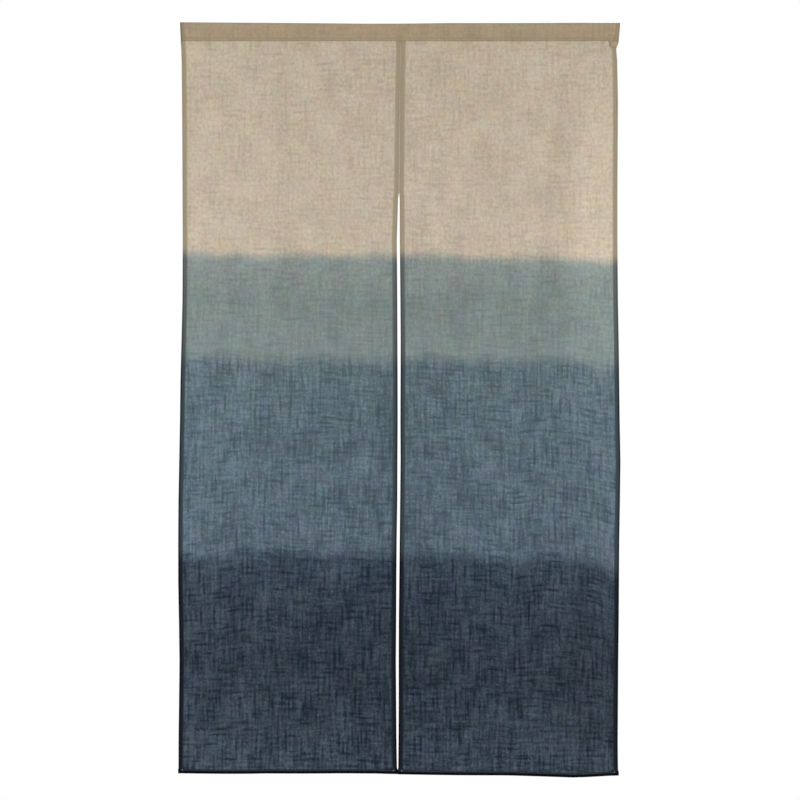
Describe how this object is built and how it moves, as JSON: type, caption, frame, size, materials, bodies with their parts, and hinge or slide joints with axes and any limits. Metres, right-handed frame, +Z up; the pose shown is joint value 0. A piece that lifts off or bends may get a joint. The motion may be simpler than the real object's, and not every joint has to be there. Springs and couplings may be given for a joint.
{
  "type": "noren curtain",
  "caption": "Split doorway curtain of sheer slub linen, dip-dyed in soft bands from natural to navy, with a rod pocket across the top and a slit up the middle",
  "frame": {"origin": "the middle of the heading's top edge, which the rod holds up", "axes": "X across the cloth, to the right as seen from the front; Y away from the viewer, through the cloth; Z up. The cloth hangs to about z = -1.5 m"},
  "size_m": [0.884, 0.0205, 1.509],
  "materials": {
    "natural_linen": "undyed slub linen, plain weave, two layers, matt",
    "dip_dyed_linen": "sheer slub linen, plain weave, dip-dyed in four soft bands: natural, grey-blue, slate blue and navy, matt",
    "sewing_thread": "spun sewing thread, matt"
  },
  "bodies": {
    "root": {"heading": "natural_linen", "panel_left": "dip_dyed_linen", "panel_right": "dip_dyed_linen"}
  },
  "joints": []
}
